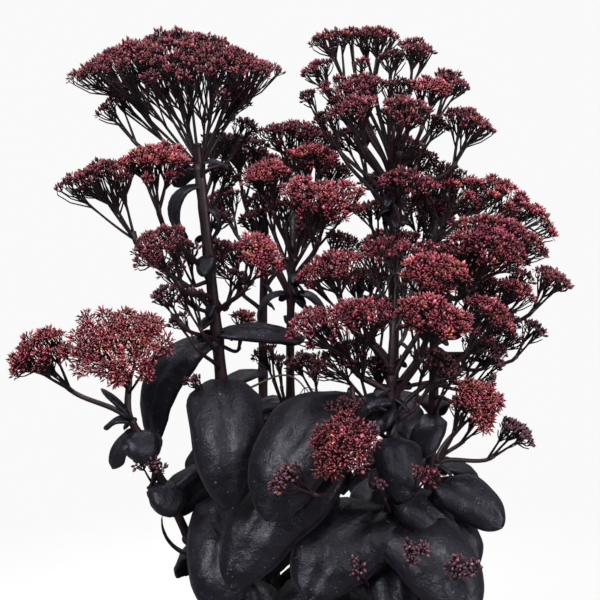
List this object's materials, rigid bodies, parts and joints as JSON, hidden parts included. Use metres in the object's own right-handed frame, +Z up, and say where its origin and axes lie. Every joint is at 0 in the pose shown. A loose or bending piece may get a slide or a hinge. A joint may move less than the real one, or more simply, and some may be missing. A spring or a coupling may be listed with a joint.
{
  "type": "potted orpine",
  "caption": "Upright clump of dark fleshy leafy stems with flat heads of small dusty-red florets, in a plain round clay pot.",
  "frame": {"origin": "middle of the pot's foot, on the surface that it stands on", "axes": "+Z up through the plant, -Y towards the side that the picture shows, +X to that side's right"},
  "size_m": [0.3579, 0.2818, 0.62],
  "materials": {
    "clay": "unglazed fired clay, dry and slightly chalky",
    "soil": "moist crumbly potting soil with bits of bark and grit",
    "leaf": "fleshy near-black leaf and dark purple-red stem with a soft waxy sheen",
    "floret_dusty": "matte dusty red florets with paler tips",
    "floret_bright": "matte crimson-pink florets with cream-pink tips",
    "floret_bud": "matte grey-purple closed buds"
  },
  "bodies": {
    "root": {"pot": "clay", "soil": "soil", "stem_left": "leaf", "stem_middle": "leaf", "stem_tall": "leaf", "stem_front": "leaf", "stem_right": "leaf", "stem_low_left": "leaf", "stem_low_right": "leaf", "stem_short": "leaf", "stem_back_left": "leaf", "stem_back_right": "leaf", "head_left_1": "floret_dusty", "head_left_2": "floret_dusty", "head_left_3": "floret_bright", "head_left_4": "floret_dusty", "head_left_5": "floret_bright", "head_left_6": "floret_bright", "head_middle_1": "floret_dusty", "head_middle_2": "floret_bud", "head_middle_3": "floret_bright", "head_middle_4": "floret_bright", "head_middle_5": "floret_bright", "head_tall_1": "floret_dusty", "head_tall_2": "floret_dusty", "head_tall_3": "floret_dusty", "head_tall_4": "floret_dusty", "head_tall_5": "floret_dusty", "head_tall_6": "floret_dusty", "head_tall_7": "floret_dusty", "head_tall_8": "floret_bright", "head_tall_9": "floret_dusty", "head_tall_10": "floret_dusty", "head_tall_11": "floret_dusty", "head_right_1": "floret_bright", "head_right_2": "floret_dusty", "head_right_3": "floret_dusty", "head_right_4": "floret_dusty", "head_right_5": "floret_dusty", "head_right_6": "floret_bud", "head_front_1": "floret_dusty", "head_front_2": "floret_dusty", "head_front_3": "floret_bright", "head_front_4": "floret_dusty", "head_front_5": "floret_bright", "head_front_6": "floret_dusty", "head_front_7": "floret_bud", "head_front_8": "floret_bud", "head_low_right_1": "floret_bright", "head_low_right_2": "floret_bud", "head_short_1": "floret_bright", "head_short_2": "floret_bud", "head_low_left_1": "floret_bright", "head_low_left_2": "floret_bright", "head_back_left_1": "floret_dusty", "head_back_left_2": "floret_dusty", "head_back_left_3": "floret_dusty", "head_back_right_1": "floret_dusty", "head_back_right_2": "floret_dusty", "head_back_right_3": "floret_dusty"}
  },
  "joints": []
}
